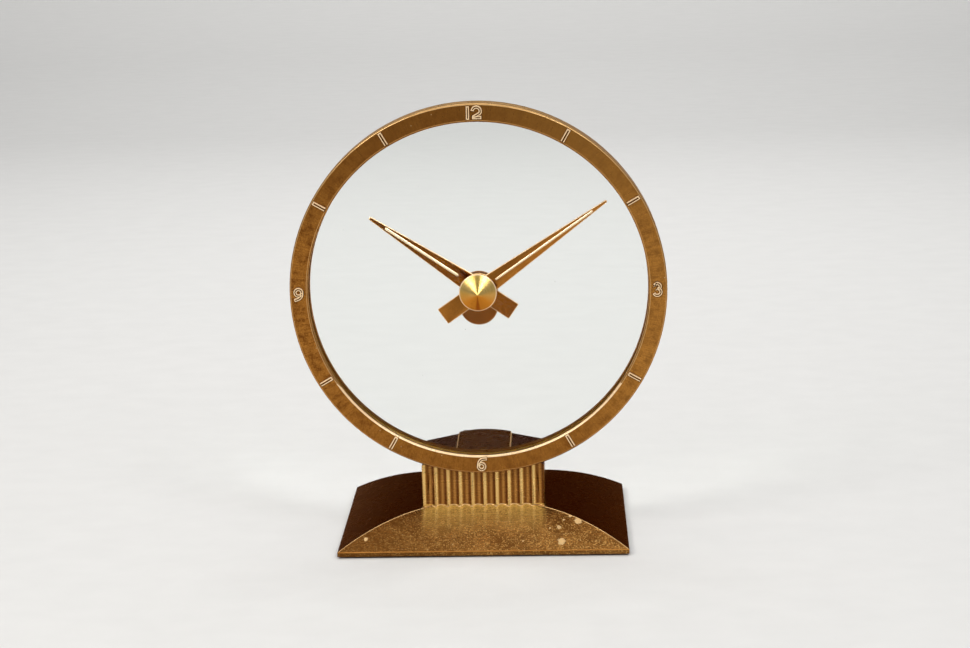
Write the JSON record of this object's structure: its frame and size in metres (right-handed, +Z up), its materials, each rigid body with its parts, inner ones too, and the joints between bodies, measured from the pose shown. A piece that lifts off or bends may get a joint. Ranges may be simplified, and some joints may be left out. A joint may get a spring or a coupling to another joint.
{
  "type": "electric clock",
  "caption": "Electric table clock with a turning glass dial in a round ring on a fluted, flared foot; toothed rim drive, hanging hour hand work, motor and rear set knob.",
  "frame": {"origin": "middle of the foot's outline, on the table", "axes": "+Z up, -Y out of the dial's face towards the viewer, +X to the viewer's right"},
  "size_m": [0.1905, 0.1078, 0.2294],
  "materials": {
    "gold_plate": "gold plated, worn satin",
    "hand_gold": "gold plated, polished",
    "glass": "clear, polished",
    "brass": "machined",
    "case_bronze": "dull bronze coloured",
    "steel": "machined",
    "zinc_plate": "zinc plated sheet",
    "lead": "cast, dull",
    "nylon": "moulded, natural",
    "fibre": "pressed fibre",
    "knob_plastic": "moulded, dark brown",
    "black_paint": "black painted sheet",
    "rubber": "moulded, matt"
  },
  "bodies": {
    "housing": {"base_housing": "gold_plate", "front_ring": "gold_plate", "rear_ring": "gold_plate", "hour_markers": "gold_plate", "ring_screws": "steel", "saddle_screws": "steel", "roller_pins": "steel", "bottom_plate": "black_paint", "plate_screws": "steel", "feet": "rubber", "cord_bushing": "rubber", "motor_bracket": "zinc_plate", "motor_gear_case": "zinc_plate", "motor_can": "zinc_plate", "motor_screws": "steel", "set_bushing": "brass", "set_spring": "steel"},
    "dial": {"glass_disc": "glass", "ring_gear": "brass", "glass_retaining_ring": "brass", "hub_bushing": "brass", "hub_washers": "fibre", "hub_nut": "brass", "arbor": "steel", "cannon_pinion": "brass", "minute_hand": "hand_gold", "cone_nut": "hand_gold", "rear_cap": "brass"},
    "weight": {"weight_case": "case_bronze", "weight_case_cover": "case_bronze", "counterweight": "lead", "motion_stud": "steel", "case_screws": "steel"},
    "motion": {"motion_wheel": "brass"},
    "hour": {"hour_wheel": "brass", "hour_hand": "hand_gold"},
    "guide_top": {"roller_top": "nylon"},
    "guide_left": {"roller_left": "nylon"},
    "guide_right": {"roller_right": "nylon"},
    "drive": {"motor_shaft": "steel", "drive_pinion": "nylon"},
    "set_slide": {"set_washer": "steel"},
    "set_turn": {"set_shaft": "steel", "set_pinion": "nylon", "set_knob": "knob_plastic"}
  },
  "joints": [
    {"name": "dial_spin", "type": "hinge", "parent": "housing", "child": "dial", "pos_m": [0, -0.0291, 0.1341], "axis": [0, 1, 0], "continuous": true},
    {"name": "weight_level", "type": "hinge", "parent": "dial", "child": "weight", "pos_m": [0, -0.0214, 0.1341], "axis": [0, 1, 0], "continuous": true},
    {"name": "motion_spin", "type": "hinge", "parent": "weight", "child": "motion", "pos_m": [0, -0.0216, 0.1265], "axis": [0, 1, 0], "continuous": true},
    {"name": "hour_spin", "type": "hinge", "parent": "weight", "child": "hour", "pos_m": [0, -0.025, 0.1341], "axis": [0, 1, 0], "continuous": true},
    {"name": "roller_top_spin", "type": "hinge", "parent": "housing", "child": "guide_top", "pos_m": [0, -0.02885, 0.22475], "axis": [0, 1, 0], "continuous": true},
    {"name": "roller_left_spin", "type": "hinge", "parent": "housing", "child": "guide_left", "pos_m": [-0.07851, -0.02885, 0.08878], "axis": [0, 1, 0], "continuous": true},
    {"name": "roller_right_spin", "type": "hinge", "parent": "housing", "child": "guide_right", "pos_m": [0.07851, -0.02885, 0.08878], "axis": [0, 1, 0], "continuous": true},
    {"name": "motor_spin", "type": "hinge", "parent": "housing", "child": "drive", "pos_m": [0.01024, -0.0257, 0.03664], "axis": [0, 1, 0], "continuous": true},
    {"name": "knob_push", "type": "slide", "parent": "housing", "child": "set_slide", "axis": [0, -1, 0], "range_m": [0, 0.0023], "stiffness_N_per_m": 600, "springref_m": -0.002, "deforming": ["set_spring"]},
    {"name": "knob_turn", "type": "hinge", "parent": "set_slide", "child": "set_turn", "pos_m": [-0.01024, -0.02, 0.03664], "axis": [0, 1, 0], "continuous": true}
  ],
  "couplings": [
    {"joint": "weight_level", "follows": "dial_spin", "ratio": -1},
    {"joint": "motion_spin", "follows": "dial_spin", "ratio": -0.33333},
    {"joint": "hour_spin", "follows": "dial_spin", "ratio": 0.083333},
    {"joint": "roller_top_spin", "follows": "dial_spin", "ratio": -33.846},
    {"joint": "roller_left_spin", "follows": "dial_spin", "ratio": -33.846},
    {"joint": "roller_right_spin", "follows": "dial_spin", "ratio": -33.846},
    {"joint": "motor_spin", "follows": "dial_spin", "ratio": -11.25}
  ]
}
